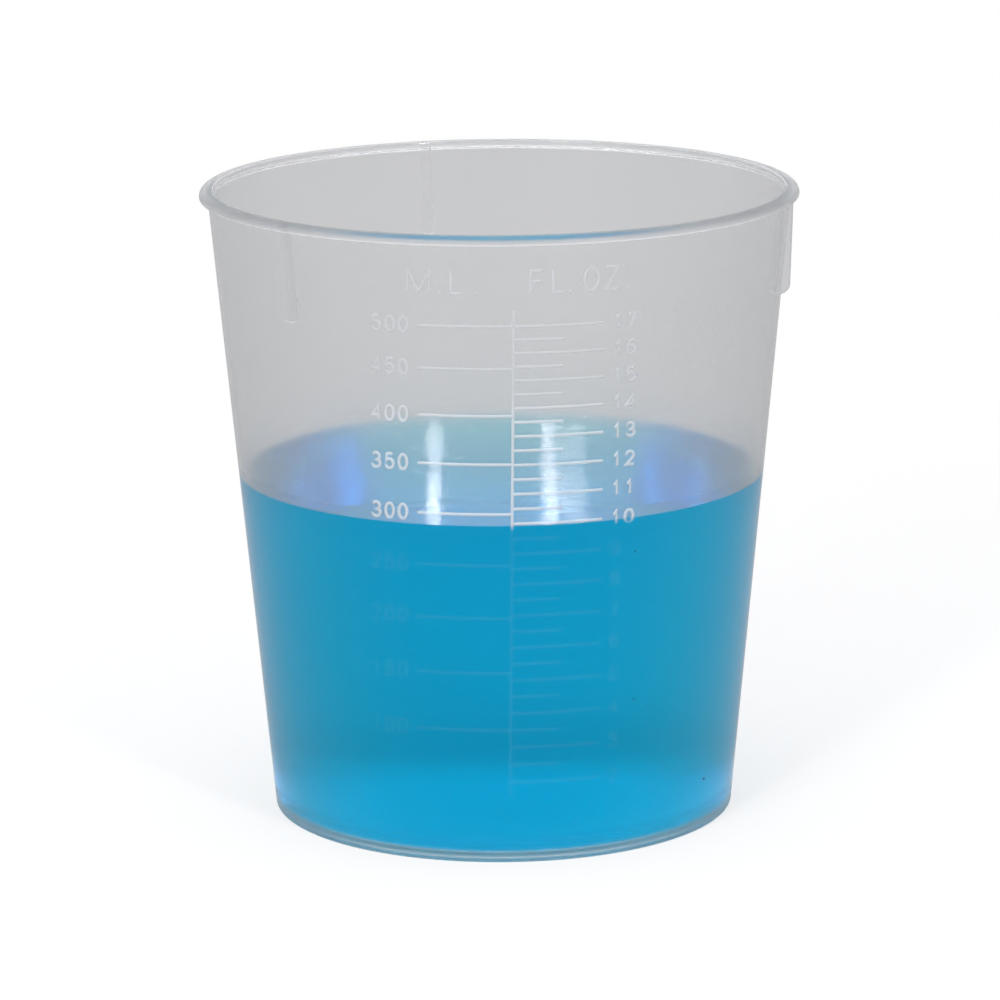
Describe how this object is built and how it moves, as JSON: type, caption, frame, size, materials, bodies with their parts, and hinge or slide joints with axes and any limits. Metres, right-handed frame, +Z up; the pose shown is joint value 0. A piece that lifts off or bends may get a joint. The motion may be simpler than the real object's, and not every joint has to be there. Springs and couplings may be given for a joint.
{
  "type": "plastic beaker",
  "caption": "Tapered see-through plastic measuring beaker with an out-turned lip, stacking fins under it and a raised scale on its front, part filled with blue liquid.",
  "frame": {"origin": "centre of the base, on the surface that the beaker stands on", "axes": "+Z up through the mouth, and the raised scale on the front faces -Y"},
  "size_m": [0.1, 0.1, 0.106],
  "materials": {
    "clear_plastic": "clear natural polypropylene, faintly milky, with a smooth moulded gloss",
    "blue_liquid": "clear bright blue water-like liquid, paler where it is thin"
  },
  "bodies": {
    "root": {"beaker": "clear_plastic", "liquid": "blue_liquid"}
  },
  "joints": []
}
